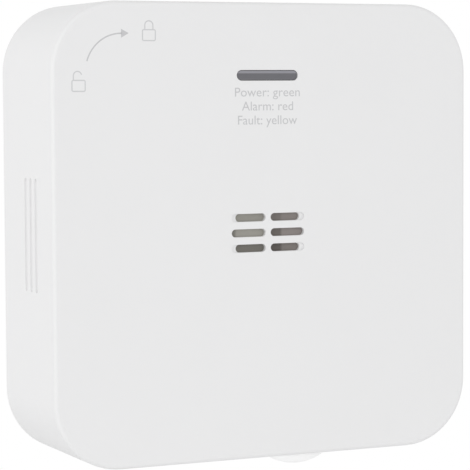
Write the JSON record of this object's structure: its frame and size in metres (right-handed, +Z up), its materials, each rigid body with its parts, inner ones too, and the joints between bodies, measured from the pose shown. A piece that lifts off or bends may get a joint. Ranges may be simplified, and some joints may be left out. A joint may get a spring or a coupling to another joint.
{
  "type": "carbon monoxide detector",
  "caption": "Square white battery carbon monoxide detector with slotted vents, a smoked status window, a domed test button and a twist-off wall plate.",
  "frame": {"origin": "centre of the wall plate's back face, on the wall", "axes": "+Y into the wall, so the front faces -Y; +Z up as mounted; +X to the right seen from the front"},
  "size_m": [0.1, 0.032, 0.104],
  "materials": {
    "plate_plastic": "moulded, matte",
    "cover_plastic": "moulded, fine satin texture",
    "rear_plastic": "moulded, satin",
    "smoked_window": "clear, smoked, polished",
    "light_box_plastic": "moulded, matte",
    "lamp_green": "clear resin, unlit",
    "lamp_red": "clear resin, unlit",
    "lamp_yellow": "clear resin, unlit",
    "button_plastic": "moulded, satin",
    "switch_plastic": "moulded, matte",
    "board_laminate": "green solder mask, satin",
    "chip_resin": "moulded epoxy",
    "tinned_metal": "tinned, bright",
    "can_metal": "drawn can, satin",
    "resistor_ceramic": "coated ceramic with tinned ends",
    "capacitor_ceramic": "fired ceramic with tinned ends",
    "capacitor_sleeve": "shrunk sleeve",
    "coil_winding": "enamelled wire on ferrite",
    "sensor_metal": "satin can",
    "gilt_metal": "gold plated",
    "gasket_foam": "closed-cell foam",
    "filter_gauze": "fine woven gauze",
    "sounder_plastic": "moulded, matte",
    "piezo_brass": "rolled sheet",
    "cell_sleeve": "printed sleeve, bright steel ends",
    "spring_metal": "nickel plated wire",
    "contact_metal": "nickel plated sheet",
    "screw_metal": "zinc plated",
    "label_film": "satin film, blank",
    "print_grey": "pad printed ink"
  },
  "bodies": {
    "wall_mount": {"wall_plate": "plate_plastic"},
    "housing": {"front_cover": "cover_plastic", "rear_cover": "rear_plastic", "led_window": "smoked_window", "led_light_box": "light_box_plastic", "led_green": "lamp_green", "led_red": "lamp_red", "led_yellow": "lamp_yellow", "tact_switch": "switch_plastic", "main_board": "board_laminate", "microcontroller": "chip_resin", "sensor_amplifier": "chip_resin", "chip_leads": "tinned_metal", "crystal": "can_metal", "chip_resistors": "resistor_ceramic", "chip_capacitors": "capacitor_ceramic", "electrolytic_capacitors": "capacitor_sleeve", "sounder_coil": "coil_winding", "co_sensor": "sensor_metal", "sensor_pins": "gilt_metal", "sensor_gasket": "gasket_foam", "dust_filter": "filter_gauze", "sounder_cup": "sounder_plastic", "piezo_disc": "piezo_brass", "aa_cell_upper": "cell_sleeve", "aa_cell_lower": "cell_sleeve", "battery_springs": "spring_metal", "battery_contacts": "contact_metal", "housing_screws": "screw_metal", "board_screws": "screw_metal", "rating_label": "label_film"},
    "push_button": {"test_button": "button_plastic", "switch_plunger": "switch_plastic"}
  },
  "joints": [
    {"name": "housing_twist", "type": "hinge", "parent": "wall_mount", "child": "housing", "pos_m": [0, 0, 0], "axis": [0, 1, 0], "range_deg": [-20, 0]},
    {"name": "button_press", "type": "slide", "parent": "housing", "child": "push_button", "axis": [0, 0, 1], "range_m": [0, 0.0008], "stiffness_N_per_m": 1500}
  ]
}
